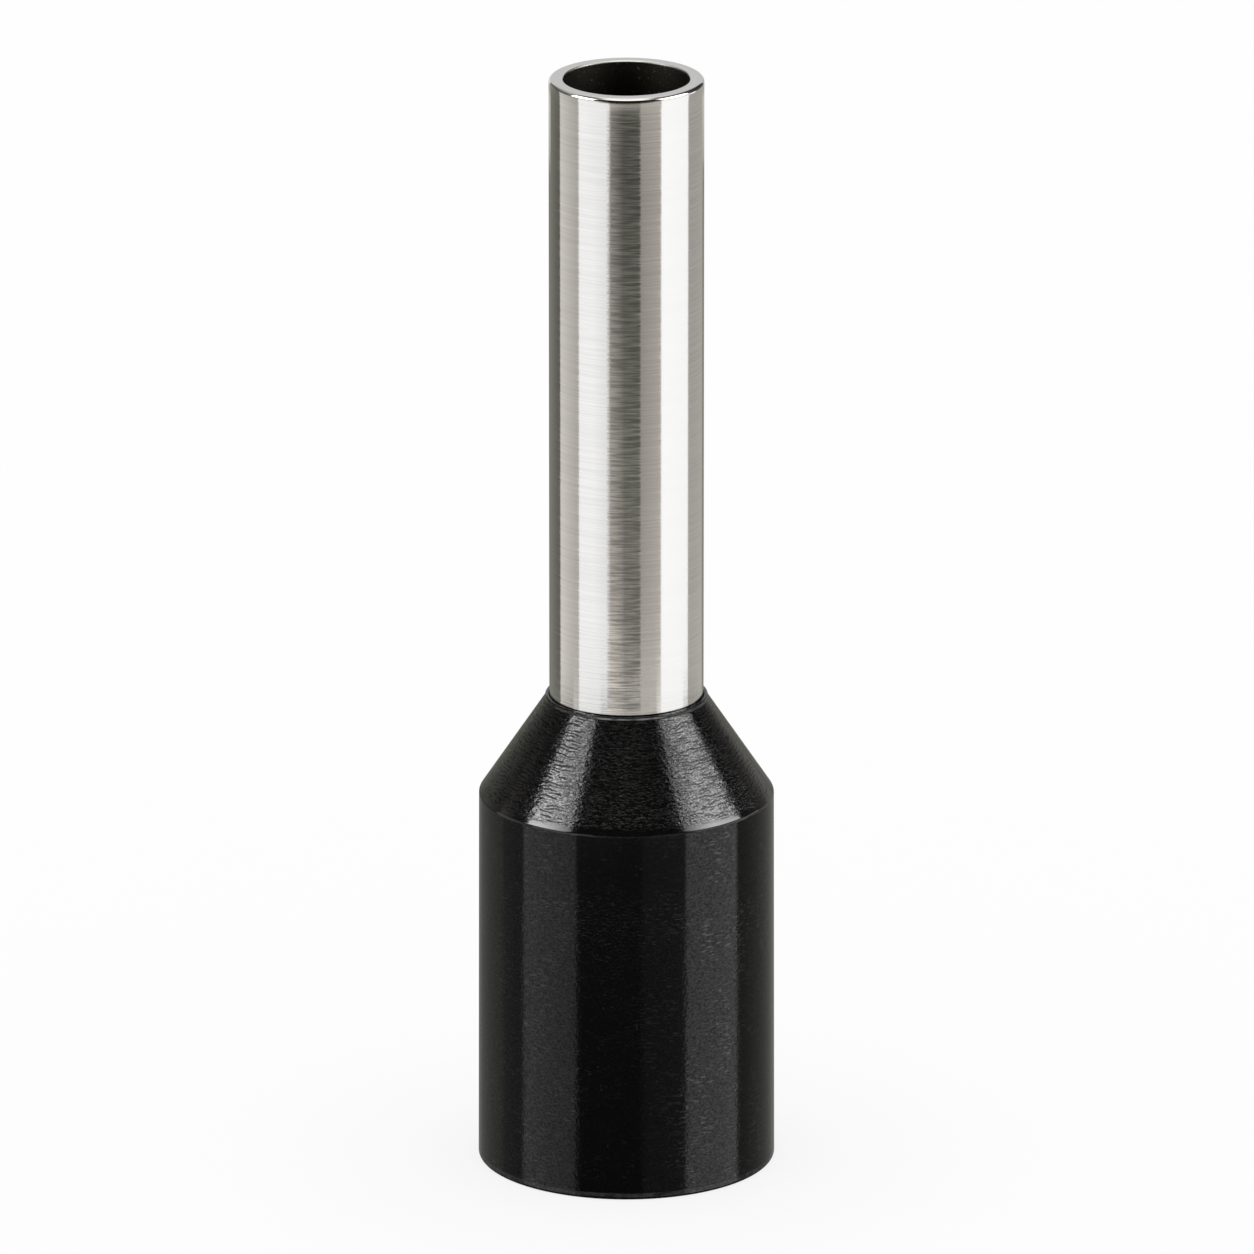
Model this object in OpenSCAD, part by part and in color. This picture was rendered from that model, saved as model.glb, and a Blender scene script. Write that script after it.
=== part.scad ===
// Insulated wire ferrule: a tinned copper contact tube held in a moulded black plastic collar.
// It stands on the collar's open mouth. Z runs up the axis of the tube, and z = 0 is the mouth.

/* [Contact tube] */
// Outside diameter of the drawn tube
tube_od = 1.92; // [1.6:0.02:2.3]
// Wall thickness of the tube
tube_wall = 0.18; // [0.12:0.01:0.24]
// Length of bare tube that stands out of the collar
pin_l = 7.95; // [5:0.05:12]
// Radius on the outer edge of the tube's mouth
tip_round = 0.05; // [0.01:0.005:0.07]
// Radius on the inner edge of the tube's mouth
tip_break = 0.03; // [0.004:0.002:0.04]
// Diameter over the flared end that guides the strands into the tube
flare_od = 2.8; // [2.5:0.05:3]
// Bend radius of the flare on the side that lies against the collar
flare_bend = 0.2; // [0.05:0.05:0.4]
// Radius on both edges of the flare's end
flare_edge = 0.04; // [0.01:0.005:0.05]

/* [Collar] */
// Height of the collar from its mouth to the lip round the tube
collar_h = 6.05; // [5.6:0.05:7]
// Height of the straight body from the mouth to the shoulder
body_h = 4.77; // [4:0.01:5.2]
// Outside diameter at the mouth
collar_od = 3.71; // [3.5:0.01:4.2]
// Draft angle of the straight body, in degrees on each side
draft = 0.19; // [0:0.01:0.5]
// Wall thickness, measured at the mouth and across the cone
collar_wall = 0.28; // [0.2:0.01:0.36]
// Radius on the outer edge of the mouth
mouth_round = 0.045; // [0.01:0.005:0.08]
// Depth of the bevel inside the mouth that leads the wire's insulation in
lead_in = 0.12; // [0.02:0.01:0.15]
// Radius on the shoulder where the straight body meets the cone
shoulder_round = 0.06; // [0.02:0.02:0.4]
// Radius inside the collar where the recess meets the funnel
recess_round = 0.12; // [0.02:0.02:0.3]

/* [Lip round the tube] */
// Width of the lip's top
lip_w = 0.04; // [0.03:0.005:0.08]
// Height of the lip above the cone
lip_h = 0.05; // [0.02:0.005:0.1]
// Draft angle of the lip's outer side, in degrees
lip_draft = 8; // [2:1:20]
// Radius on the lip's outer edge
lip_round = 0.02; // [0.004:0.002:0.02]
// Radius on the lip's inner edge, against the tube
lip_break = 0.006; // [0.004:0.002:0.01]

/* [Fits] */
// Clearance between the tube and the collar that grips it, in the neck and under the flare
seat_gap = 0.01; // [0.004:0.002:0.03]

/* [Hidden] */
$fn = 128;

overall_l = collar_h + pin_l;
tube_r = tube_od / 2;
bore_r = tube_r - tube_wall;
flare_r = flare_od / 2;
neck_r = tube_r + seat_gap;
lip_r = neck_r + lip_w;
lip_foot_r = lip_r + lip_h * tan(lip_draft);
lip_foot_z = collar_h - lip_h;
mouth_r = collar_od / 2;
shoulder_r = mouth_r - body_h * tan(draft);
recess_r = mouth_r - collar_wall;

// The cone's half angle follows from the shoulder and the foot of the lip
cone_a = atan2(shoulder_r - lip_foot_r, lip_foot_z - body_h);
// Unit vector out of the cone's surface
cone_out = [cos(cone_a), sin(cone_a)];

// Each round corner is drawn with this many chords
corner_steps = 8;

function unit(v) = v / norm(v);

// Height of the cone's outer surface at radius r, less a thickness measured square to it
function cone_z(r, depth) = body_h + (shoulder_r - r) / tan(cone_a) - depth / sin(cone_a);

// Points of the arc that rounds corner b, between its neighbours a and c
function corner(a, b, c, radius) =
    let (
        u = unit(a - b),
        v = unit(c - b),
        half = acos(u * v) / 2,
        centre = b + unit(u + v) * radius / sin(half),
        first = b + u * radius / tan(half) - centre,
        last = b + v * radius / tan(half) - centre,
        start = atan2(first[1], first[0]),
        sweep = atan2(cross(first, last), first * last)
    )
    [for (i = [0 : corner_steps]) let (t = start + sweep * i / corner_steps) centre + radius * [cos(t), sin(t)]];

// Outline through corners of the form [point, radius], with each corner rounded
function rounded(corners) =
    let (n = len(corners))
    [
        for (i = [0 : n - 1])
            let (a = corners[(i + n - 1) % n][0], b = corners[i][0], c = corners[(i + 1) % n][0])
            each (corners[i][1] > 0 ? corner(a, b, c, corners[i][1]) : [b])
    ];

module turned(corners) {
    rotate_extrude() polygon(rounded(corners));
}

// Drawn tube with a broken edge at the tip and a flare that lies in the collar's funnel
module contact_tube() {
    back = collar_wall + seat_gap;
    flare_end = [flare_r, cone_z(flare_r, back)];
    color([0.78, 0.77, 0.75])
        turned([
            [[tube_r, overall_l], tip_round],
            [[tube_r, cone_z(tube_r, back)], flare_bend],
            [flare_end, flare_edge],
            [flare_end - tube_wall * cone_out, flare_edge],
            [[bore_r, cone_z(bore_r, back + tube_wall)], flare_bend + tube_wall],
            [[bore_r, overall_l], tip_break],
        ]);
}

// Moulded collar: a recess for the wire's insulation, a funnel behind it and a neck that grips the tube
module insulating_collar() {
    color([0.05, 0.05, 0.055])
        turned([
            [[mouth_r, 0], mouth_round],
            [[shoulder_r, body_h], shoulder_round],
            [[lip_foot_r, lip_foot_z], 0],
            [[lip_r, collar_h], lip_round],
            [[neck_r, collar_h], lip_break],
            [[neck_r, cone_z(neck_r, collar_wall)], flare_bend - seat_gap],
            [[recess_r, cone_z(recess_r, collar_wall)], recess_round],
            [[recess_r, lead_in], 0],
            [[recess_r + lead_in, 0], 0],
        ]);
}

contact_tube();
insulating_collar();
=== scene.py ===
"""Looks of the insulated wire ferrule: a bright drawn tube in a black moulded collar, in a white studio."""

import math

import bpy
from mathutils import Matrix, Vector

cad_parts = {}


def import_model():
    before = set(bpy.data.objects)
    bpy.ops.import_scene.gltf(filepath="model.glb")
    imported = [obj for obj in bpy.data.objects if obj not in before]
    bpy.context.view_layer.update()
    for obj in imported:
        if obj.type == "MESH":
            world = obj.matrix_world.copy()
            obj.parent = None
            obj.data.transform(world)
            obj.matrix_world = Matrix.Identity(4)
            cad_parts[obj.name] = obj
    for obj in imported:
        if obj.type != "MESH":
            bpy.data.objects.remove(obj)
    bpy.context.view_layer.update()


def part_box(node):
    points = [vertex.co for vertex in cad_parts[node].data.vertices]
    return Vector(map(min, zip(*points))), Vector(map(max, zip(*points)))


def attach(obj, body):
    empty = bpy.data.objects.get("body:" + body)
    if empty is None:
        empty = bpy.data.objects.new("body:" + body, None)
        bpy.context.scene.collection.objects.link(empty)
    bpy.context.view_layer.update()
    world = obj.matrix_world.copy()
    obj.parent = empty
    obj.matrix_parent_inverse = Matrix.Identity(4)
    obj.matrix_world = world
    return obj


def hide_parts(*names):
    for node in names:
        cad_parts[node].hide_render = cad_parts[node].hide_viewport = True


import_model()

MM = 0.001

# Contact tube, in metres; its top comes from model.glb
TUBE_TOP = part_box("contact_tube")[1].z
TUBE_OD = 1.92 * MM
TUBE_WALL = 0.18 * MM
FLARE_R = 1.40 * MM
TIP_ROUND = 0.05 * MM
TIP_BREAK = 0.03 * MM
FLARE_BEND = 0.2 * MM
FLARE_EDGE = 0.04 * MM

# Insulating collar; its top comes from model.glb
COLLAR_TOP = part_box("insulating_collar")[1].z
MOUTH_R = 1.855 * MM
BODY_H = 4.77 * MM
DRAFT = math.radians(0.19)
COLLAR_WALL = 0.28 * MM
MOUTH_ROUND = 0.045 * MM
LEAD_IN = 0.12 * MM
SHOULDER_ROUND = 0.06 * MM
RECESS_ROUND = 0.12 * MM
LIP_W = 0.04 * MM
LIP_H = 0.05 * MM
LIP_DRAFT = math.radians(8)
LIP_ROUND = 0.02 * MM
LIP_BREAK = 0.006 * MM
SEAT_GAP = 0.01 * MM

# Fineness of the turned meshes
TURN_STEPS = 384
ARC_STEPS = 10
GUARD = 0.004 * MM

# Camera at the photograph's viewing angle, on the object's own axis
VIEW_DISTANCE = 215.35 * MM
VIEW_ELEVATION = math.radians(17.67)
AIM_HEIGHT = 6.905 * MM
LENS_MM = 497.2
SENSOR_MM = 36.0
SHIFT_X = 0.00044
CLIP_START = 0.01
CLIP_END = 3.0

FLOOR_SIDE = 3.0
FLOOR_WHITE = (0.99, 0.99, 0.99, 1)
SHADOW_SHARE = 0.2


def unit(x, y):
    length = math.hypot(x, y)
    return x / length, y / length


def corner(before, point, after, radius):
    """Points of the arc that rounds one corner of an outline."""
    u = unit(before[0] - point[0], before[1] - point[1])
    v = unit(after[0] - point[0], after[1] - point[1])
    half = math.acos(u[0] * v[0] + u[1] * v[1]) / 2
    middle = unit(u[0] + v[0], u[1] + v[1])
    reach = radius / math.sin(half)
    centre = (point[0] + middle[0] * reach, point[1] + middle[1] * reach)
    run = radius / math.tan(half)
    first = (point[0] + u[0] * run - centre[0], point[1] + u[1] * run - centre[1])
    last = (point[0] + v[0] * run - centre[0], point[1] + v[1] * run - centre[1])
    start = math.atan2(first[1], first[0])
    cross = first[0] * last[1] - first[1] * last[0]
    sweep = math.atan2(cross, first[0] * last[0] + first[1] * last[1])
    angles = [start + sweep * i / ARC_STEPS for i in range(ARC_STEPS + 1)]
    return [(centre[0] + radius * math.cos(a), centre[1] + radius * math.sin(a)) for a in angles]


def rounded(corners):
    """Closed outline through corners of the form (r, z, radius)."""
    points = []
    for i, (r, z, radius) in enumerate(corners):
        before = corners[i - 1]
        after = corners[(i + 1) % len(corners)]
        points += corner(before, (r, z), after, radius) if radius else [(r, z)]
    return points


def guarded(points):
    """The outline with a point added near both ends of each long straight, so that flat walls shade flat."""
    made = []
    for i, a in enumerate(points):
        b = points[(i + 1) % len(points)]
        length = math.hypot(b[0] - a[0], b[1] - a[1])
        made.append(a)
        if length > 4 * GUARD:
            for share in (GUARD / length, 1 - GUARD / length):
                made.append((a[0] + (b[0] - a[0]) * share, a[1] + (b[1] - a[1]) * share))
    return made


def placed(name, data):
    """A new object of the scene that holds this mesh or camera."""
    made = bpy.data.objects.new(name, data)
    bpy.context.scene.collection.objects.link(made)
    return made


def turned(name, corners):
    """A smooth piece: the rounded outline turned round the Z axis."""
    outline = guarded(rounded(corners))
    count = len(outline)
    points = []
    for step in range(TURN_STEPS):
        a = 2 * math.pi * step / TURN_STEPS
        points += [(r * math.cos(a), r * math.sin(a), z) for r, z in outline]
    faces = []
    for step in range(TURN_STEPS):
        here = step * count
        there = (step + 1) % TURN_STEPS * count
        for i in range(count):
            j = (i + 1) % count
            faces.append((here + i, there + i, there + j, here + j))
    mesh = bpy.data.meshes.new(name)
    mesh.from_pydata(points, [], faces)
    mesh.shade_smooth()
    return placed(name, mesh)


def cone_facts():
    """Shoulder radius, foot of the lip and the cone's half angle, from the collar's own values."""
    shoulder_r = MOUTH_R - BODY_H * math.tan(DRAFT)
    foot_r = TUBE_OD / 2 + SEAT_GAP + LIP_W + LIP_H * math.tan(LIP_DRAFT)
    foot_z = COLLAR_TOP - LIP_H
    return shoulder_r, foot_r, foot_z, math.atan2(shoulder_r - foot_r, foot_z - BODY_H)


def cone_z(r, depth):
    """Height of the cone's outer surface at radius r, less a thickness measured square to it."""
    shoulder_r, _, _, angle = cone_facts()
    return BODY_H + (shoulder_r - r) / math.tan(angle) - depth / math.sin(angle)


def tube_corners():
    """Corners (r, z, radius) of the tube, from its mouth down the bore, round the flare and back up."""
    tube_r = TUBE_OD / 2
    bore_r = tube_r - TUBE_WALL
    back = COLLAR_WALL + SEAT_GAP
    angle = cone_facts()[3]
    end_z = cone_z(FLARE_R, back)
    inner_r = FLARE_R - TUBE_WALL * math.cos(angle)
    inner_z = end_z - TUBE_WALL * math.sin(angle)
    return [
        (bore_r, TUBE_TOP, TIP_BREAK),
        (bore_r, cone_z(bore_r, back + TUBE_WALL), FLARE_BEND + TUBE_WALL),
        (inner_r, inner_z, FLARE_EDGE),
        (FLARE_R, end_z, FLARE_EDGE),
        (tube_r, cone_z(tube_r, back), FLARE_BEND),
        (tube_r, TUBE_TOP, TIP_ROUND),
    ]


def collar_corners():
    """Corners (r, z, radius) of the collar, from its mouth up the inside and back down the outside."""
    shoulder_r, foot_r, foot_z, _ = cone_facts()
    neck_r = TUBE_OD / 2 + SEAT_GAP
    recess_r = MOUTH_R - COLLAR_WALL
    return [
        (recess_r + LEAD_IN, 0, 0),
        (recess_r, LEAD_IN, 0),
        (recess_r, cone_z(recess_r, COLLAR_WALL), RECESS_ROUND),
        (neck_r, cone_z(neck_r, COLLAR_WALL), FLARE_BEND - SEAT_GAP),
        (neck_r, COLLAR_TOP, LIP_BREAK),
        (neck_r + LIP_W, COLLAR_TOP, LIP_ROUND),
        (foot_r, foot_z, 0),
        (shoulder_r, BODY_H, SHOULDER_ROUND),
        (MOUTH_R, 0, MOUTH_ROUND),
    ]


def set_input(tree, socket, value):
    """Gives an input a value, or links another node's output to it."""
    if isinstance(value, bpy.types.NodeSocket):
        tree.links.new(value, socket)
    else:
        socket.default_value = value


def node(tree, kind, inputs=None, **settings):
    """Adds a shader node; an input is a value or another node's output."""
    made = tree.nodes.new(kind)
    for name, value in settings.items():
        setattr(made, name, value)
    for name, value in (inputs or {}).items():
        set_input(tree, made.inputs[name], value)
    return made


def math_node(tree, operation, a, b=0.0):
    return node(tree, "ShaderNodeMath", {0: a, 1: b}, operation=operation).outputs[0]


def scaled(tree, a, b):
    return math_node(tree, "MULTIPLY", a, b)


def divided(tree, a, b):
    return math_node(tree, "DIVIDE", a, b)


def summed(tree, a, b):
    return math_node(tree, "ADD", a, b)


def less(tree, a, b):
    return math_node(tree, "SUBTRACT", a, b)


def mapped(tree, value, low, high, to_low, to_high, smooth=False):
    """to_low up to low and to_high beyond high, with a straight or a smooth step between them."""
    kind = "SMOOTHSTEP" if smooth else "LINEAR"
    inputs = {"Value": value, "From Min": low, "From Max": high, "To Min": to_low, "To Max": to_high}
    return node(tree, "ShaderNodeMapRange", inputs, interpolation_type=kind).outputs["Result"]


def rising(tree, value, start, end):
    """0 up to start and 1 beyond end, with a smooth step between them."""
    return mapped(tree, value, start, end, 0.0, 1.0, smooth=True)


def falling(tree, value, start, end):
    """1 up to start and 0 beyond end, with a smooth step between them."""
    return mapped(tree, value, start, end, 1.0, 0.0, smooth=True)


def between(tree, share, values):
    """The first value where the share is 0, and the second where it is 1."""
    return mapped(tree, share, 0.0, 1.0, *values)


def banded(tree, value, start, end, fade):
    """1 between start and end, and 0 beyond the fade on both sides."""
    return scaled(tree, rising(tree, value, start - fade, start), falling(tree, value, end, end + fade))


def grooved(tree, value, half_width):
    """1 in narrow grooves, which run where smooth noise crosses its middle, and 0 away from them."""
    away = math_node(tree, "ABSOLUTE", less(tree, value, 0.5))
    return falling(tree, away, 0.0, half_width)


def mixed(tree, share, a, b):
    """Colour a where the share is 0, and b where it is 1."""
    made = node(tree, "ShaderNodeMix", data_type="RGBA")
    for name, value in (("Factor", share), ("A", a), ("B", b)):
        set_input(tree, next(s for s in made.inputs if s.name == name and s.enabled), value)
    return next(s for s in made.outputs if s.enabled)


def vector_node(tree, operation, inputs):
    return node(tree, "ShaderNodeVectorMath", inputs, operation=operation).outputs["Vector"]


def combined(tree, x, y, z):
    return node(tree, "ShaderNodeCombineXYZ", {"X": x, "Y": y, "Z": z}).outputs["Vector"]


def new_material(name):
    made = bpy.data.materials.new(name)
    made.use_nodes = True
    tree = made.node_tree
    return made, tree, tree.nodes["Principled BSDF"]


def turned_coordinates(tree):
    """Object X, Y, Z, and the way down the outline: height less radius, which runs on over edges."""
    place = node(tree, "ShaderNodeTexCoord").outputs["Object"]
    split = node(tree, "ShaderNodeSeparateXYZ", {"Vector": place})
    x, y, z = split.outputs["X"], split.outputs["Y"], split.outputs["Z"]
    radius = math_node(tree, "SQRT", summed(tree, scaled(tree, x, x), scaled(tree, y, y)))
    return {"x": x, "y": y, "z": z, "radius": radius, "down": less(tree, z, radius)}


def grain(tree, at, along, across, detail=2.0, rough=0.5, distortion=0.0):
    """Noise whose marks are `along` metres long round the piece and `across` metres wide."""
    x = divided(tree, at["x"], along)
    y = divided(tree, at["y"], along)
    vector = combined(tree, x, y, divided(tree, at["down"], across))
    inputs = {"Vector": vector, "Scale": 1.0, "Detail": detail, "Roughness": rough, "Distortion": distortion}
    return node(tree, "ShaderNodeTexNoise", inputs).outputs["Fac"]


def spread(tree, at, marks, span, values=(0.0, 1.0), smooth=False):
    """A grain of these marks, with the span of its noise spread over two values."""
    return mapped(tree, grain(tree, at, *marks), *span, *values, smooth)


def facing(tree, at, azimuth, start, end):
    """1 on the side that faces this azimuth, and 0 well away from it; start and end are angles from it."""
    a = math.radians(azimuth)
    side = scaled(tree, at["x"], math.sin(a))
    front = scaled(tree, at["y"], -math.cos(a))
    cosine = divided(tree, summed(tree, side, front), at["radius"])
    return rising(tree, cosine, math.cos(math.radians(end)), math.cos(math.radians(start)))


def stripes(tree, at, azimuths, start, end):
    """1 in a stripe along the tube at each azimuth."""
    made = facing(tree, at, azimuths[0], start, end)
    for azimuth in azimuths[1:]:
        made = math_node(tree, "MAXIMUM", made, facing(tree, at, azimuth, start, end))
    return made


def tilted(tree, at, turn, lift):
    """The surface normal, turned a little round the axis and lifted a little towards its top."""
    round_axis = combined(tree, scaled(tree, at["y"], -1.0), at["x"], 0.0)
    level = vector_node(tree, "NORMALIZE", {0: round_axis})
    swing = vector_node(tree, "SCALE", {0: level, "Scale": turn})
    plain = node(tree, "ShaderNodeNewGeometry").outputs["Normal"]
    moved = vector_node(tree, "ADD", {0: plain, 1: swing})
    moved = vector_node(tree, "ADD", {0: moved, 1: combined(tree, 0.0, 0.0, lift)})
    return vector_node(tree, "NORMALIZE", {0: moved})


# In the looks below, MARKS are the length of a mark round the piece, its width down it, then the noise's
# detail, roughness and distortion. A SPAN is the noise at which a mark starts and at which it is whole. A
# SIDE is an azimuth in degrees, with 0 at the front and + to its right, then how far from it a mark is whole
# and where it is gone.

# Brush streaks in the tin
FINE_MARKS = (1.2 * MM, 0.018 * MM, 2.0, 0.6)
FINE_SPAN = (0.35, 0.65)
COARSE_MARKS = (0.30 * MM, 0.024 * MM, 1.5, 0.6)
COARSE_SPAN = (0.36, 0.64)
CLOUD_MARKS = (1.1 * MM, 0.12 * MM, 2.0)
# How far each streak turns the normal round the axis, on the clean tin and where it is worn
TILT_SPAN = (0.2, 0.8)
BRUSH_TILT = 0.007
WORN_TILT = 0.022
BRUSH_DEPTH = 0.0003 * MM
# Azimuths of the worn and of the polished stripes' middles, and how far each stripe reaches to both sides
WORN_AT = (-2.0, 118.0, 238.0)
WORN_REACH = (11.0, 13.5)
POLISHED_AT = (39.0, 159.0, 279.0)
POLISHED_REACH = (12.0, 14.0)
# Heights above the collar and depths below the mouth between which the worn stripes fade
WORN_FROM = (0.03 * MM, 0.12 * MM)
WORN_UNTIL = (0.24 * MM, 0.10 * MM)
# The cut end curls in: how far the normal leans up there, and the depths below the mouth where it starts to
# lean and where it leans most
TIP_CURL = 0.04
CURL_FROM = (0.18 * MM, 0.05 * MM)
# Painted shade at the mouth, dark lines that stand in for dark reflections: how far below it they start and
# end and how they fade, in radii of its outer edge
UNDER_EDGE = (1.15, 0.9)
ON_EDGE = (0.40, 0.16)
LINE_FADE = 0.1
OUTER_FADE = 0.2
RIM_FRONT_SIDE = (0.0, 14.0, 24.0)
RIM_WIDE_SIDE = (18.0, 50.0, 62.0)
# Painted shadow where the tube leaves the collar, mostly in front
SEAM_H = 0.008 * MM
SEAM_FADE = 0.006 * MM
SEAM_SIDE = (0.0, 15.0, 50.0)
# Pale specks in the bore's painted shade
BORE_FADE = 0.01 * MM
SPECK_MARKS = (0.03 * MM, 0.03 * MM, 1.0)
SPECK_SPAN = (0.66, 0.76)
# Colours of the tube, and shares that darken its tin
WHITE = (1, 1, 1, 1)
DULL_TIN = (0.9, 0.895, 0.88, 1)
CLEAR_TIN = (0.935, 0.932, 0.92, 1)
BRUSHED_SHARE = (0.90, 0.90, 0.90, 1)
POLISHED_SHARE = (0.96, 0.96, 0.96, 1)
SCORED_SHARE = (0.52, 0.51, 0.50, 1)
# Painted shade for the dark lines at the mouth
RIM_PAINTED_SHADE = (0.26, 0.25, 0.24, 1)
# Painted shadow where the tube leaves the collar
SEAM_PAINTED_SHADOW = (0.01, 0.01, 0.01, 1)
# Painted shade in the bore
BORE_PAINTED_SHADE = (0.042, 0.039, 0.031, 1)
BORE_SPECK = (0.20, 0.21, 0.235, 1)
TIN_ROUGHNESS = (0.07, 0.12)
ROUGHNESS_SPAN = (0.3, 0.7)
BORE_DULLNESS = 0.4


def rim_band(tree, at, start, end):
    """1 in a band under the tube's mouth; start and end are its depths below it, in radii of the edge."""
    low = TUBE_TOP - start * TIP_ROUND
    high = TUBE_TOP - end * TIP_ROUND
    return banded(tree, at["z"], low, high, LINE_FADE * TIP_ROUND)


def painted_rim_shade(tree, at):
    """Painted shade round the tube's mouth, dark lines for dark reflections: one under its rounded edge in
    front, one on the edge beside it.
    """
    in_front = facing(tree, at, *RIM_FRONT_SIDE)
    beside = less(tree, facing(tree, at, *RIM_WIDE_SIDE), in_front)
    under_edge = scaled(tree, in_front, rim_band(tree, at, *UNDER_EDGE))
    on_edge = scaled(tree, beside, rim_band(tree, at, *ON_EDGE))
    edge_r = TUBE_OD / 2 - TIP_ROUND
    outer = mapped(tree, at["radius"], edge_r, edge_r + OUTER_FADE * TIP_ROUND, 0.0, 1.0)
    return scaled(tree, summed(tree, under_edge, on_edge), outer)


def worn_stripes(tree, at):
    """1 in the stripes where the tin is coarsely worn, which fade out at the collar and under the mouth."""
    above_collar = rising(tree, at["z"], *(COLLAR_TOP + height for height in WORN_FROM))
    below_mouth = falling(tree, at["z"], *(TUBE_TOP - depth for depth in WORN_UNTIL))
    return scaled(tree, stripes(tree, at, WORN_AT, *WORN_REACH), scaled(tree, above_collar, below_mouth))


def tin_colour(tree, at, fine, coarse, worn):
    """Cloudy tin with fine brush streaks, coarse ones where it is worn, and none where it is polished."""
    tin = mixed(tree, grain(tree, at, *CLOUD_MARKS), DULL_TIN, CLEAR_TIN)
    streaked = mixed(tree, mapped(tree, fine, *FINE_SPAN, 0.0, 1.0), BRUSHED_SHARE, WHITE)
    scored = mixed(tree, mapped(tree, coarse, *COARSE_SPAN, 0.0, 1.0), SCORED_SHARE, WHITE)
    polished = stripes(tree, at, POLISHED_AT, *POLISHED_REACH)
    marked = mixed(tree, worn, mixed(tree, polished, streaked, POLISHED_SHARE), scored)
    return vector_node(tree, "MULTIPLY", {0: tin, 1: marked})


def tube_colour(tree, at, tin, in_bore):
    """The tin with painted shade lines at its mouth and a painted shadow at the collar; the bore is painted
    dark as shade, with pale specks.
    """
    # The dark lines at the mouth are painted shade, standing in for dark reflections
    rim_shaded = mixed(tree, painted_rim_shade(tree, at), tin, RIM_PAINTED_SHADE)
    # A painted shadow just above the collar, mostly in front
    seam_z = COLLAR_TOP + SEAM_H
    in_seam_shadow = falling(tree, at["z"], seam_z, seam_z + SEAM_FADE)
    outside = mixed(tree, scaled(tree, in_seam_shadow, facing(tree, at, *SEAM_SIDE)), rim_shaded, SEAM_PAINTED_SHADOW)
    # The bore is painted dark as shade, with pale specks
    bore = mixed(tree, spread(tree, at, SPECK_MARKS, SPECK_SPAN), BORE_PAINTED_SHADE, BORE_SPECK)
    return mixed(tree, in_bore, outside, bore)


def tube_normal(tree, at, fine, coarse, worn):
    """The tube's normal, turned by each brush streak, and lifted just under the mouth."""
    clean_turn = mapped(tree, fine, *TILT_SPAN, -BRUSH_TILT, BRUSH_TILT)
    worn_turn = scaled(tree, mapped(tree, coarse, *TILT_SPAN, -WORN_TILT, WORN_TILT), worn)
    curl_from, curl_to = (TUBE_TOP - depth for depth in CURL_FROM)
    curl = mapped(tree, at["z"], curl_from, curl_to, 0.0, TIP_CURL, smooth=True)
    brushed = tilted(tree, at, summed(tree, clean_turn, worn_turn), curl)
    relief = {"Strength": 1.0, "Distance": BRUSH_DEPTH, "Height": fine, "Normal": brushed}
    return node(tree, "ShaderNodeBump", relief).outputs["Normal"]


def tinned_copper():
    """Bright tin, brushed round the tube and coarsely so in stripes; the bore is dull and painted dark as
    shade.
    """
    made, tree, shader = new_material("tinned_copper")
    at = turned_coordinates(tree)
    fine = grain(tree, at, *FINE_MARKS)
    coarse = grain(tree, at, *COARSE_MARKS)
    worn = worn_stripes(tree, at)
    bore_r = TUBE_OD / 2 - TUBE_WALL
    in_bore = falling(tree, at["radius"], bore_r, bore_r + BORE_FADE)
    tin = tin_colour(tree, at, fine, coarse, worn)
    set_input(tree, shader.inputs["Base Color"], tube_colour(tree, at, tin, in_bore))
    shader.inputs["Metallic"].default_value = 1.0
    brushed = mapped(tree, fine, *ROUGHNESS_SPAN, *TIN_ROUGHNESS)
    set_input(tree, shader.inputs["Roughness"], summed(tree, brushed, scaled(tree, in_bore, BORE_DULLNESS)))
    set_input(tree, shader.inputs["Normal"], tube_normal(tree, at, fine, coarse, worn))
    return made


# Creases across the cone's sides: how far they wander, in spacings, where they break off, and their strength
# in general and on the left
CREASE_SPACING = 0.066 * MM
CREASE_LENGTH = 0.18 * MM
CREASE_DETAIL = 0.5
DRIFT_MARKS = (0.22 * MM, 0.16 * MM, 1.5)
CREASE_WANDER = 2.6
UNBROKEN_SPAN = (0.38, 0.52)
WAVE_SPAN = (0.0, 0.8)
CREASE_STRENGTH = (0.8, 1.0)
CONE_FRONT_SIDE = (0.0, 16.0, 34.0)
CONE_LEFT_SIDE = (-42.0, 25.0, 55.0)
# Faint worms all over the cone
WORM_MARKS = (0.10 * MM, 0.05 * MM, 1.0, 0.5, 0.8)
WORM_HALF_WIDTH = 0.07
WORM_SHARE = 0.5
# The cone's gloss: on its skin and in its creases, how mottled it is in front and at the sides, how strong
# it is low and high, and at the shoulder in front and at the sides
MOTTLE_MARKS = (0.026 * MM, 0.022 * MM, 1.5, 0.6, 0.6)
MOTTLE_SPAN = (0.32, 0.68)
SKIN_GLOSS = (0.64, 0.10)
MOTTLE_SHARE = (1.0, 0.6)
HEIGHT_GLOSS = (1.3, 1.0)
SHOULDER_GLOSS = (0.5, 1.0)
# Heights above the shoulder between which the wrinkles set in, and between which the gloss weakens
CALM_UNTIL = (0.02 * MM, 0.10 * MM)
LOW_UNTIL = (0.1 * MM, 0.8 * MM)
# Soft swells all over the cone
SWELL_MARKS = (0.05 * MM, 0.05 * MM, 1.5, 0.5, 0.5)
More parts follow.
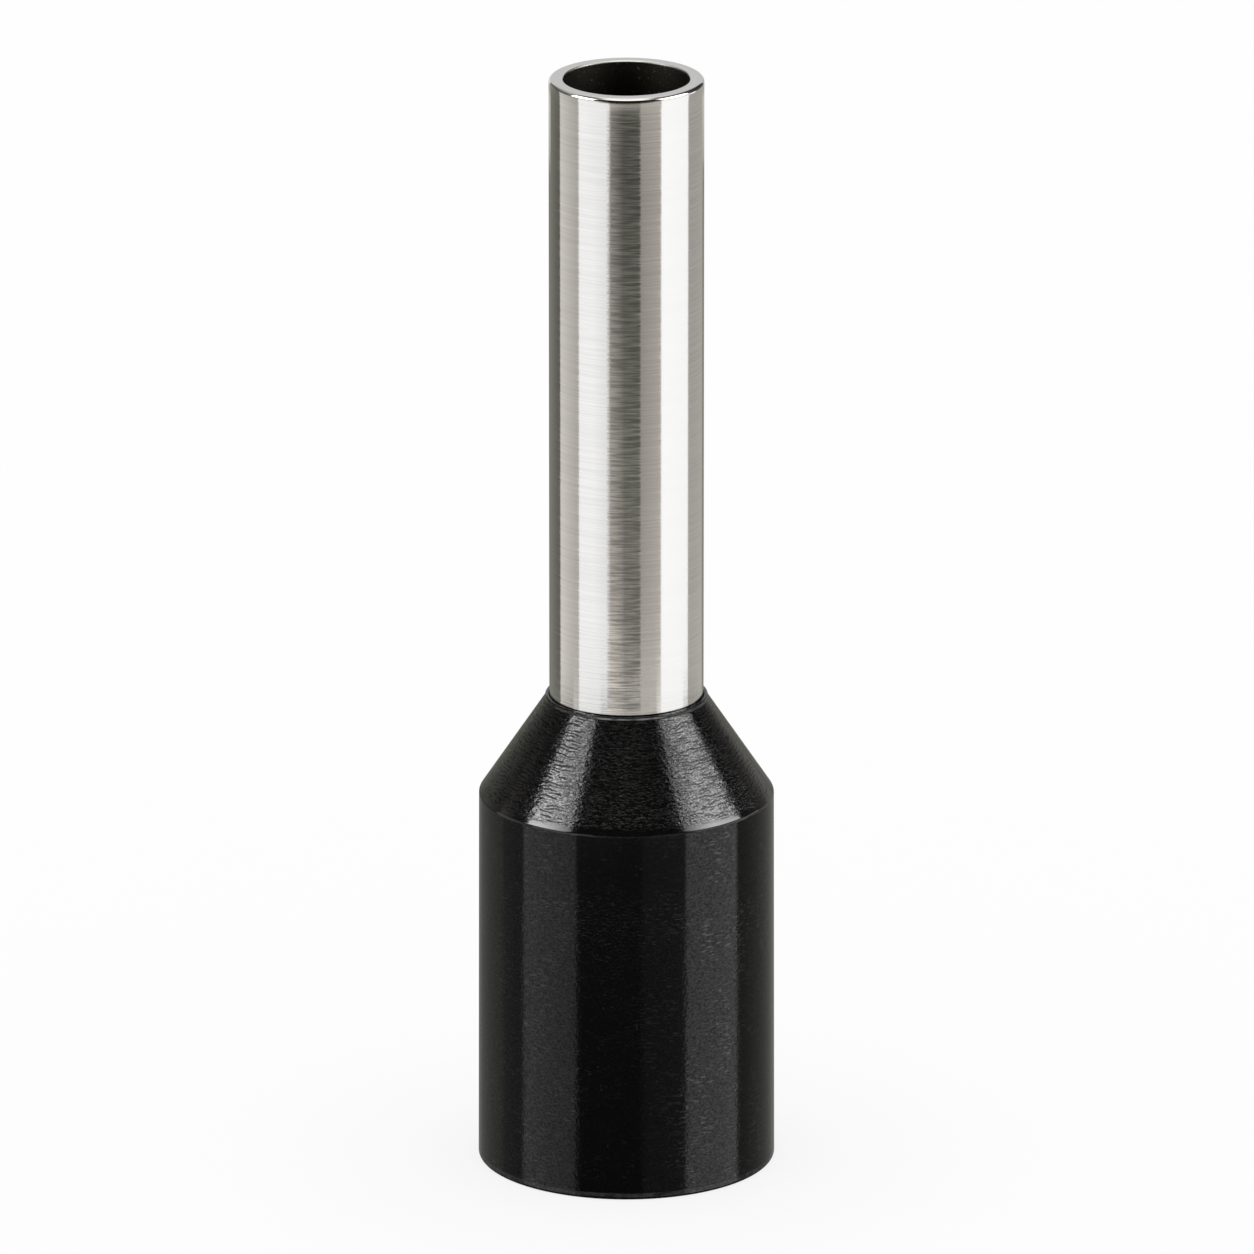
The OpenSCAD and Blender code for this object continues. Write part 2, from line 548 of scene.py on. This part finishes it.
# Ripple, and patches of short scratches, most of them on the right of the body
RIPPLE_MARKS = (0.04 * MM, 0.03 * MM, 2.0, 0.5)
PATCH_MARKS = (0.5 * MM, 0.6 * MM, 1.0)
PATCH_SPAN = (0.42, 0.62)
PATCH_SHARE = (0.2, 1.0)
SCRATCH_MARKS = (0.10 * MM, 0.02 * MM, 0.5)
SCRATCH_SPAN = (0.60, 0.68)
SCRATCH_SHARE = (0.55, 1.0)
SCRATCH_GLOSS = 0.7
BODY_RIGHT_SIDE = (40.0, 10.0, 40.0)
# Depths below the shoulder between which the body's relief fades, and what is left of it
RELIEF_UNTIL = (1.4 * MM, 0.3 * MM)
RELIEF_SHARE = (1.0, 0.1)
BODY_MOTTLE_MARKS = (0.032 * MM, 0.022 * MM, 1.5, 0.6)
BODY_MOTTLE_SPAN = (0.3, 0.7)
BODY_GLOSS = (0.22, 0.70)
# Relief of the plastic, in mm
CREASE_DEPTH = 0.0011
SWELL_HEIGHT = 0.0024
RIPPLE_HEIGHT = 0.0017
SCRATCH_HEIGHT = 0.0004
# The lip's outer edge, painted pale as a highlight: its start, end and fade below the top, in radii of the
# edge, how far it reaches past the lip's foot, and how pale it is at the back and in front
LIP_HIGHLIGHT_BAND = (1.8, 1.2, 0.4)
LIP_HIGHLIGHT_REACH = 0.004 * MM
LIP_HIGHLIGHT_STRENGTH = (0.15, 1.35)
LIP_FRONT_SIDE = (0.0, 12.0, 34.0)
# The mouth's edge, painted pale as a highlight: its start, end and fade above the floor
MOUTH_HIGHLIGHT_BAND = (0.045 * MM, 0.085 * MM, 0.012 * MM)
MOUTH_HIGHLIGHT_STRENGTH = 0.2
# How unevenly the painted highlights on the lip and the mouth fade along them
UNEVEN_HIGHLIGHT_MARKS = (0.12 * MM, 0.04 * MM, 2.0)
UNEVEN_HIGHLIGHT_SPAN = (0.35, 0.65)
UNEVEN_HIGHLIGHT_SHARE = (0.2, 1.0)
DUST_MARKS = (0.05 * MM, 0.03 * MM, 1.0)
DUST_SPAN = (0.66, 0.76)
DUST_SHARE = (0.0, 0.06)
# Colours and shine of the plastic: its black, and a pale colour for dust and for painted highlights; right
# at the floor it hardly shines
PLASTIC_BLACK = (0.003, 0.003, 0.0031, 1)
PLASTIC_DUST_AND_HIGHLIGHT = (0.16, 0.16, 0.16, 1)
PLASTIC_IOR = 1.5
PLASTIC_ROUGHNESS = (0.118, 0.078)
FLOOR_EDGE = (0.030 * MM, 0.042 * MM)
FLOOR_EDGE_SHARE = (0.05, 1.0)
CONE_BLEND = 0.02 * MM


def combed(tree, at, spacing, length):
    """Lines round the piece that wander and break off: 1 in them and 0 between them."""
    drift = grain(tree, at, *DRIFT_MARKS)
    phase = summed(tree, divided(tree, at["down"], spacing), scaled(tree, drift, CREASE_WANDER))
    wave = math_node(tree, "SINE", scaled(tree, phase, 2 * math.pi))
    unbroken = rising(tree, grain(tree, at, length, spacing, CREASE_DETAIL), *UNBROKEN_SPAN)
    return scaled(tree, rising(tree, wave, *WAVE_SPAN), unbroken)


def cone_creases(tree, at, side):
    """How deep the cone is creased: in lines across its sides, and in faint worms all over."""
    strength = between(tree, facing(tree, at, *CONE_LEFT_SIDE), CREASE_STRENGTH)
    lines = scaled(tree, combed(tree, at, CREASE_SPACING, CREASE_LENGTH), scaled(tree, side, strength))
    worms = grooved(tree, grain(tree, at, *WORM_MARKS), WORM_HALF_WIDTH)
    return math_node(tree, "MAXIMUM", lines, scaled(tree, worms, WORM_SHARE))


def cone_gloss(tree, at, side, creases):
    """The cone's gloss: mottled, most of all in front, stronger low down, and mostly lost in the creases."""
    speckle = spread(tree, at, MOTTLE_MARKS, MOTTLE_SPAN, (-1.0, 1.0))
    mottle = summed(tree, 1.0, scaled(tree, speckle, between(tree, side, MOTTLE_SHARE)))
    low, high = (BODY_H + height for height in LOW_UNTIL)
    strength = mapped(tree, at["z"], low, high, *HEIGHT_GLOSS)
    return scaled(tree, between(tree, creases, SKIN_GLOSS), scaled(tree, mottle, strength))


def cone_marks(tree, at):
    """Leathery wrinkles on the cone, calm at the shoulder: their height in mm, and the cone's gloss."""
    calm = falling(tree, at["z"], *(BODY_H + height for height in CALM_UNTIL))
    wrinkled = less(tree, 1.0, calm)
    side = less(tree, 1.0, facing(tree, at, *CONE_FRONT_SIDE))
    creases = cone_creases(tree, at, side)
    swell = scaled(tree, grain(tree, at, *SWELL_MARKS), SWELL_HEIGHT)
    height = summed(tree, scaled(tree, creases, -CREASE_DEPTH), swell)
    at_shoulder = scaled(tree, between(tree, side, SHOULDER_GLOSS), calm)
    above = scaled(tree, cone_gloss(tree, at, side, creases), wrinkled)
    return scaled(tree, height, wrinkled), summed(tree, above, at_shoulder)


def body_marks(tree, at):
    """Faint ripple and patches of short scratches on the body: their height in mm, and the body's gloss."""
    patchy = spread(tree, at, PATCH_MARKS, PATCH_SPAN, PATCH_SHARE, smooth=True)
    scratches = spread(tree, at, SCRATCH_MARKS, SCRATCH_SPAN, smooth=True)
    on_right = between(tree, facing(tree, at, *BODY_RIGHT_SIDE), SCRATCH_SHARE)
    marks = scaled(tree, scratches, scaled(tree, patchy, on_right))
    ripple = scaled(tree, grain(tree, at, *RIPPLE_MARKS), RIPPLE_HEIGHT)
    relief = summed(tree, ripple, scaled(tree, marks, SCRATCH_HEIGHT))
    low, high = (BODY_H - depth for depth in RELIEF_UNTIL)
    kept = mapped(tree, at["z"], low, high, *RELIEF_SHARE, smooth=True)
    mottle = spread(tree, at, BODY_MOTTLE_MARKS, BODY_MOTTLE_SPAN, BODY_GLOSS)
    return scaled(tree, relief, kept), summed(tree, mottle, scaled(tree, marks, SCRATCH_GLOSS))


def painted_lip_highlight(tree, at):
    """How strongly a highlight is painted on the lip's outer edge, most in front."""
    foot_r = cone_facts()[1]
    # A highlight painted on the lip's outer edge
    on_lip = mapped(tree, at["radius"], foot_r, foot_r + LIP_HIGHLIGHT_REACH, 1.0, 0.0)
    start, end, fade = LIP_HIGHLIGHT_BAND
    low = COLLAR_TOP - start * LIP_ROUND
    edge = banded(tree, at["z"], low, COLLAR_TOP - end * LIP_ROUND, fade * LIP_ROUND)
    strength = between(tree, facing(tree, at, *LIP_FRONT_SIDE), LIP_HIGHLIGHT_STRENGTH)
    return scaled(tree, scaled(tree, edge, on_lip), strength)


def paleness(tree, at):
    """How pale the plastic is: a highlight painted unevenly along the lip and a little along the mouth, and
    dust.
    """
    # A highlight painted along the mouth's edge
    mouth = scaled(tree, banded(tree, at["z"], *MOUTH_HIGHLIGHT_BAND), MOUTH_HIGHLIGHT_STRENGTH)
    uneven = spread(tree, at, UNEVEN_HIGHLIGHT_MARKS, UNEVEN_HIGHLIGHT_SPAN, UNEVEN_HIGHLIGHT_SHARE)
    # The painted highlights on the lip and the mouth, made uneven
    painted_highlights = scaled(tree, summed(tree, painted_lip_highlight(tree, at), mouth), uneven)
    return summed(tree, painted_highlights, spread(tree, at, DUST_MARKS, DUST_SPAN, DUST_SHARE))


def black_plastic():
    """Black moulded plastic: a finely marked body, leathery wrinkles round the cone and a highlight painted
    on the lip.
    """
    made, tree, shader = new_material("black_plastic")
    at = turned_coordinates(tree)
    # Base colour: black, with dust and with painted highlights on the lip and the mouth
    colour = mixed(tree, paleness(tree, at), PLASTIC_BLACK, PLASTIC_DUST_AND_HIGHLIGHT)
    set_input(tree, shader.inputs["Base Color"], colour)
    shader.inputs["IOR"].default_value = PLASTIC_IOR
    cone_height, cone_shine = cone_marks(tree, at)
    body_height, body_shine = body_marks(tree, at)
    on_cone = rising(tree, at["z"], BODY_H - CONE_BLEND, BODY_H + CONE_BLEND)
    on_body = less(tree, 1.0, on_cone)
    off_floor = mapped(tree, at["z"], *FLOOR_EDGE, *FLOOR_EDGE_SHARE)
    gloss = summed(tree, scaled(tree, cone_shine, on_cone), scaled(tree, body_shine, on_body))
    set_input(tree, shader.inputs["Specular IOR Level"], scaled(tree, gloss, off_floor))
    set_input(tree, shader.inputs["Roughness"], between(tree, gloss, PLASTIC_ROUGHNESS))
    height = summed(tree, scaled(tree, cone_height, on_cone), scaled(tree, body_height, on_body))
    bump = node(tree, "ShaderNodeBump", {"Strength": 1.0, "Distance": MM, "Height": height})
    set_input(tree, shader.inputs["Normal"], bump.outputs["Normal"])
    return made


def floor_material():
    """Near-white paper. The camera sees part of it as plain white, which softens the shadow and keeps it."""
    made, tree, shader = new_material("studio_floor")
    tree.nodes.remove(shader)
    paper = node(tree, "ShaderNodeBsdfDiffuse", {"Color": FLOOR_WHITE})
    glow = node(tree, "ShaderNodeEmission", {"Color": FLOOR_WHITE, "Strength": 1.0})
    seen = node(tree, "ShaderNodeLightPath").outputs["Is Camera Ray"]
    share = scaled(tree, seen, 1 - SHADOW_SHARE)
    mix = node(tree, "ShaderNodeMixShader", {0: share, 1: paper.outputs[0], 2: glow.outputs[0]})
    set_input(tree, tree.nodes["Material Output"].inputs["Surface"], mix.outputs[0])
    return made


def floor():
    half = FLOOR_SIDE / 2
    corners = [(-half, -half, 0), (half, -half, 0), (half, half, 0), (-half, half, 0)]
    mesh = bpy.data.meshes.new("studio_floor")
    mesh.from_pydata(corners, [], [(0, 1, 2, 3)])
    mesh.materials.append(floor_material())
    made = placed("studio_floor", mesh)
    made.visible_glossy = False


def world():
    """Plain white light from all round."""
    made = bpy.data.worlds.new("studio_white")
    made.use_nodes = True
    back = made.node_tree.nodes["Background"]
    back.inputs["Color"].default_value = WHITE
    back.inputs["Strength"].default_value = 1.0
    bpy.context.scene.world = made


def camera():
    data = bpy.data.cameras.new("camera")
    data.lens = LENS_MM
    data.sensor_width = SENSOR_MM
    data.shift_x = SHIFT_X
    data.clip_start = CLIP_START
    data.clip_end = CLIP_END
    made = placed("camera", data)
    back = Vector((0, -math.cos(VIEW_ELEVATION), math.sin(VIEW_ELEVATION)))
    made.location = Vector((0, 0, AIM_HEIGHT)) + back * VIEW_DISTANCE
    made.rotation_euler = back.to_track_quat("Z", "Y").to_euler()
    bpy.context.scene.camera = made


# The studio: a ring of reflector cards round the object, seen only in its gloss
RING_R = 30.0 * MM
CARD_STEP = math.radians(3)

# Tints of the cards
NEUTRAL = (1.0, 1.0, 1.0)
WARM = (1.0, 0.95, 0.89)
BROWN = (1.0, 0.93, 0.85)
DEEP_BROWN = (1.0, 0.78, 0.70)
OLIVE = (1.0, 1.0, 0.87)
PALE_OLIVE = (1.0, 1.0, 0.94)
CREAM = (1.0, 0.97, 0.88)

# Each row of cards: its lowest and highest height in mm, then its cards. A card has its azimuths in degrees,
# its tones at the lower left, lower right, upper left and upper right corner, and its tint.

# Seen in both pieces' walls from high up
DEEP_ROW = (-600.0, -25.0, [
    (-152, -110, (0.30, 0.40, 0.22, 0.30), PALE_OLIVE),
    (-110, -85.5, (0.40, 0.50, 0.30, 0.40), NEUTRAL),
    (-85.5, -38.5, (0.80, 0.70, 0.70, 0.60), NEUTRAL),
    (-38.5, 12, (0.22, 0.20, 0.12, 0.12), NEUTRAL),
    (12, 46, (0.30, 0.36, 0.20, 0.26), NEUTRAL),
    (46, 94, (0.80, 0.80, 0.70, 0.70), NEUTRAL),
    (94, 152, (0.30, 0.40, 0.24, 0.34), PALE_OLIVE),
    (152, 208, (0.40, 0.30, 0.34, 0.28), PALE_OLIVE),
])
# Seen in the collar's straight body
BODY_ROW = (-25.0, -3.55, [
    (-152, -110, (0.22, 0.24, 0.22, 0.24), PALE_OLIVE),
    (-110, -85.5, (0.17, 0.13, 0.17, 0.13), NEUTRAL),
    (-85.5, -38.5, (0.66, 0.44, 0.66, 0.44), NEUTRAL),
    (-38.5, 12, (0.01, 0.01, 0.01, 0.01), NEUTRAL),
    (12, 46, (0.07, 0.11, 0.07, 0.11), NEUTRAL),
    (46, 94, (0.85, 0.90, 0.85, 0.90), NEUTRAL),
    (94, 152, (0.12, 0.28, 0.12, 0.28), PALE_OLIVE),
    (152, 208, (0.30, 0.24, 0.30, 0.24), PALE_OLIVE),
])
# Seen in the tube, from its foot up to its mouth
FOOT_ROW = (-3.55, -3.0, [
    (-152, -115.3, (0.22, 0.11, 0.22, 0.11), OLIVE),
    (-115.3, -74.5, (0.74, 0.46, 0.72, 0.45), WARM),
    (-74.5, -25, (1.05, 1.05, 0.98, 0.98), NEUTRAL),
    (-25, -4, (1.50, 1.40, 1.00, 0.48), WARM),
    (-4, 20, (1.40, 1.40, 0.38, 0.36), WARM),
    (20, 52, (1.20, 1.20, 0.50, 0.50), WARM),
    (52, 103.5, (1.08, 1.04, 1.08, 1.04), NEUTRAL),
    (103.5, 152, (0.45, 0.49, 0.43, 0.47), WARM),
    (152, 208, (0.25, 0.20, 0.25, 0.20), OLIVE),
])
LOW_ROW = (-3.0, -1.4, [
    (-152, -115.3, (0.22, 0.11, 0.21, 0.11), OLIVE),
    (-115.3, -74.5, (0.74, 0.46, 0.69, 0.43), WARM),
    (-74.5, -50, (0.98, 0.98, 0.98, 0.98), NEUTRAL),
    (-50, -25, (0.98, 1.00, 0.98, 0.82), NEUTRAL),
    (-25, -4, (0.80, 0.42, 0.50, 0.28), BROWN),
    (-4, 20, (0.31, 0.29, 0.22, 0.21), BROWN),
    (20, 52, (0.45, 0.49, 0.34, 0.47), BROWN),
    (52, 103.5, (1.08, 1.04, 1.08, 1.04), NEUTRAL),
    (103.5, 152, (0.43, 0.47, 0.40, 0.44), WARM),
    (152, 208, (0.25, 0.20, 0.25, 0.20), OLIVE),
])
TUBE_ROW = (-1.4, 4.3, [
    (-152, -115.3, (0.21, 0.11, 0.20, 0.10), OLIVE),
    (-115.3, -74.5, (0.69, 0.43, 0.67, 0.415), WARM),
    (-74.5, -50, (0.98, 0.98, 0.98, 0.98), NEUTRAL),
    (-50, -25, (0.98, 0.82, 0.98, 0.82), NEUTRAL),
    (-25, -4, (0.50, 0.28, 0.32, 0.11), BROWN),
    (-4, 20, (0.22, 0.21, 0.118, 0.12), OLIVE),
    (20, 52, (0.34, 0.47, 0.29, 0.40), BROWN),
    (52, 103.5, (1.08, 1.04, 1.08, 1.04), NEUTRAL),
    (103.5, 152, (0.40, 0.44, 0.36, 0.40), WARM),
    (152, 208, (0.25, 0.20, 0.25, 0.20), OLIVE),
])
FADE_ROW = (4.3, 5.4, [
    (-152, -115.3, (0.20, 0.10, 0.20, 0.12), OLIVE),
    (-115.3, -74.5, (0.67, 0.415, 0.66, 0.41), WARM),
    (-74.5, -24.3, (0.98, 0.82, 1.00, 0.90), NEUTRAL),
    (-24.3, -4, (0.30, 0.09, 0.28, 0.09), BROWN),
    (-4, 20, (0.09, 0.095, 0.09, 0.10), OLIVE),
    (20, 52, (0.29, 0.40, 0.34, 0.42), BROWN),
    (52, 103.5, (1.08, 1.04, 1.08, 1.04), NEUTRAL),
    (103.5, 152, (0.36, 0.40, 0.38, 0.40), WARM),
    (152, 208, (0.40, 0.40, 0.60, 0.60), OLIVE),
])
GLOW_ROW = (5.4, 8.4, [
    (-152, -115.3, (0.20, 0.12, 0.30, 0.14), OLIVE),
    (-115.3, -74.5, (0.64, 0.40, 0.60, 0.36), WARM),
    (-74.5, -24.3, (1.00, 0.90, 1.00, 0.90), NEUTRAL),
    (-24.3, -4, (0.28, 0.10, 0.60, 0.45), BROWN),
    (-4, 20, (0.10, 0.12, 0.42, 0.40), OLIVE),
    (20, 52, (0.36, 0.44, 0.50, 0.55), BROWN),
    (52, 103.5, (1.08, 1.04, 1.08, 1.04), NEUTRAL),
    (103.5, 152, (0.38, 0.40, 0.38, 0.40), WARM),
    (152, 208, (0.40, 0.40, 0.60, 0.60), OLIVE),
])
# Seen in the outer edge of the tube's mouth, where it starts to round over
SHINE_ROW = (8.4, 12.0, [
    (-152, -115.3, (0.30, 0.14, 0.30, 0.11), OLIVE),
    (-115.3, -74.5, (0.66, 0.41, 0.46, 0.30), WARM),
    (-74.5, -26, (0.98, 0.80, 0.66, 0.55), NEUTRAL),
    (-26, 20, (0.10, 0.04, 0.07, 0.03), DEEP_BROWN),
    (20, 52, (0.27, 0.38, 0.19, 0.26), BROWN),
    (52, 103.5, (1.08, 1.04, 0.72, 0.70), NEUTRAL),
    (103.5, 120, (1.40, 1.40, 1.60, 1.60), NEUTRAL),
    (120, 152, (0.20, 0.20, 0.13, 0.14), WARM),
    (152, 208, (0.45, 0.85, 0.45, 0.80), NEUTRAL),
])
BRIM_ROW = (12.0, 18.5, [
    (-152, -115.3, (0.30, 0.11, 0.30, 0.05), OLIVE),
    (-115.3, -74.5, (0.46, 0.30, 0.10, 0.10), WARM),
    (-74.5, -26, (0.66, 0.55, 0.10, 0.10), NEUTRAL),
    (-26, 20, (0.07, 0.03, 0.02, 0.02), DEEP_BROWN),
    (20, 52, (0.19, 0.26, 0.04, 0.04), BROWN),
    (52, 103.5, (0.72, 0.70, 0.10, 0.10), NEUTRAL),
    (103.5, 152, (0.10, 0.12, 0.01, 0.03), WARM),
    (152, 208, (0.45, 0.80, 0.45, 0.75), NEUTRAL),
])
# Seen in the cone and, from the back of the ring, in the flat end of the tube
CONE_ROW = (18.5, 31.0, [
    (-152, -87.5, (0.09, 0.01, 0.22, 0.14), NEUTRAL),
    (-87.5, -80, (5.8, 6.3, 6.0, 6.4), NEUTRAL),
    (-80, -50, (6.3, 3.6, 6.4, 3.1), NEUTRAL),
    (-50, 52, (0.012, 0.012, 0.012, 0.012), DEEP_BROWN),
    (52, 80, (1.7, 5.4, 1.9, 6.2), NEUTRAL),
    (80, 103, (5.2, 3.9, 5.7, 4.3), NEUTRAL),
    (103, 152, (0.02, 0.03, 0.09, 0.12), NEUTRAL),
    (152, 208, (0.59, 0.59, 0.58, 0.58), NEUTRAL),
])
CROWN_ROW = (31.0, 44.0, [
    (-152, -87.5, (0.30, 0.20, 0.55, 0.50), WARM),
    (-87.5, -80, (6.0, 6.4, 2.0, 2.0), NEUTRAL),
    (-80, -50, (6.4, 2.9, 2.0, 1.5), NEUTRAL),
    (-50, 52, (0.012, 0.012, 0.012, 0.012), DEEP_BROWN),
    (52, 80, (1.9, 6.2, 1.5, 2.0), NEUTRAL),
    (80, 103, (5.7, 4.3, 2.0, 2.0), NEUTRAL),
    (103, 152, (0.09, 0.12, 0.35, 0.35), WARM),
    (152, 208, (0.58, 0.58, 0.56, 0.56), NEUTRAL),
])
# Seen in edges that look well up, such as the rounded lip and the rounded mouth of the tube
HIGH_ROW = (44.0, 56.0, [
    (-152, -51, (0.45, 0.30, 0.60, 0.50), WARM),
    (-51, 51, (0.02, 0.02, 0.80, 0.80), CREAM),
    (51, 152, (0.30, 0.35, 0.50, 0.60), WARM),
])
TOP_ROW = (56.0, 120.0, [
    (-152, -51, (0.60, 0.60, 0.90, 0.90), CREAM),
    (-51, 51, (1.40, 1.40, 1.60, 1.60), CREAM),
    (51, 152, (0.60, 0.60, 0.90, 0.90), CREAM),
])
TUBE_ROWS = (FOOT_ROW, LOW_ROW, TUBE_ROW, FADE_ROW, GLOW_ROW, SHINE_ROW, BRIM_ROW)
CARD_ROWS = (DEEP_ROW, BODY_ROW, *TUBE_ROWS, CONE_ROW, CROWN_ROW, HIGH_ROW, TOP_ROW)


def card_material():
    """Light from the tone painted on a card's corners."""
    made, tree, shader = new_material("studio_card")
    tree.nodes.remove(shader)
    tone = node(tree, "ShaderNodeAttribute", attribute_name="tone").outputs["Color"]
    glow = node(tree, "ShaderNodeEmission", {"Color": tone, "Strength": 1.0})
    set_input(tree, tree.nodes["Material Output"].inputs["Surface"], glow.outputs[0])
    made.cycles.emission_sampling = "NONE"
    return made


def card_mesh(name, start, end, low, high, tones, tint):
    """A curved card from azimuth start to end in degrees, 0 towards the camera and + to its right.
    tones are its brightness at its lower left, lower right, upper left and upper right corner."""
    steps = max(1, round(math.radians(end - start) / CARD_STEP))
    points = []
    colours = []
    for i in range(steps + 1):
        share = i / steps
        a = math.radians(start + (end - start) * share)
        for z, left, right in ((low, tones[0], tones[1]), (high, tones[2], tones[3])):
            points.append((RING_R * math.sin(a), -RING_R * math.cos(a), z * MM))
            tone = left + (right - left) * share
            colours.append([tone * t for t in tint] + [1.0])
    faces = [(2 * i, 2 * i + 2, 2 * i + 3, 2 * i + 1) for i in range(steps)]
    mesh = bpy.data.meshes.new(name)
    mesh.from_pydata(points, [], faces)
    paint = mesh.attributes.new("tone", "FLOAT_COLOR", "POINT")
    for i, colour in enumerate(colours):
        paint.data[i].color = colour
    return mesh


def card(name, mesh, material):
    mesh.materials.append(material)
    made = placed(name, mesh)
    made.visible_camera = False
    made.visible_diffuse = False
    made.visible_transmission = False
    made.visible_shadow = False


def ring_of_cards():
    material = card_material()
    for row, (low, high, cards) in enumerate(CARD_ROWS):
        for i, (start, end, tones, tint) in enumerate(cards):
            name = f"card_{row}_{i}"
            card(name, card_mesh(name, start, end, low, high, tones, tint), material)


def dressed(name, corners, material, stands_for):
    """A visible piece turned from the same outline as its solid."""
    piece = turned(name, corners)
    piece.data.materials.append(material)
    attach(piece, "root")
    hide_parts(stands_for)


world()
camera()
floor()
ring_of_cards()
dressed("ContactTube", tube_corners(), tinned_copper(), "contact_tube")
dressed("InsulatingCollar", collar_corners(), black_plastic(), "insulating_collar")

bpy.context.scene.view_settings.view_transform = "Standard"
